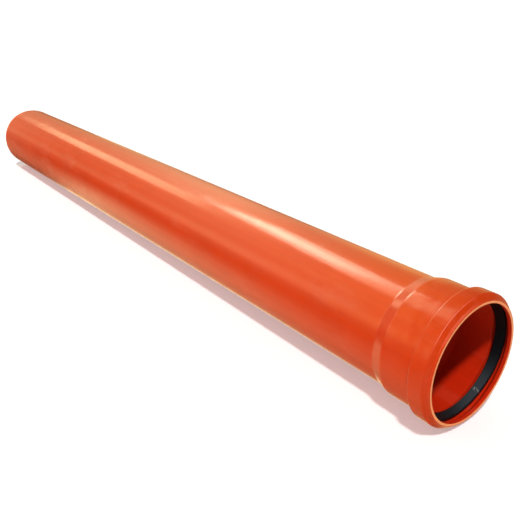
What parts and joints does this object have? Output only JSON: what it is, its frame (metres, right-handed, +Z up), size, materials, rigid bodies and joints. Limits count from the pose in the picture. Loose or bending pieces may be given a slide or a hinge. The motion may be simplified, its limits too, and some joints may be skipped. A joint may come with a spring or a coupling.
{
  "type": "push-fit sewer pipe",
  "caption": "Orange-brown PVC-U sewer pipe with a bevelled spigot at one end and a belled push-fit socket with a rubber sealing ring at the other.",
  "frame": {"origin": "on the floor, under the middle of the pipe as it lies", "axes": "+X along the pipe from the spigot to the socket's mouth; the pipe's axis rises 0.43 degrees along +X, because it lies on its bead and on its spigot's end; +Z up"},
  "size_m": [1.0604, 0.1254, 0.1257],
  "materials": {
    "pvc": "gloss",
    "ring_rubber": "satin"
  },
  "bodies": {
    "root": {"pipe": "pvc", "sealing_ring": "ring_rubber"}
  },
  "joints": []
}
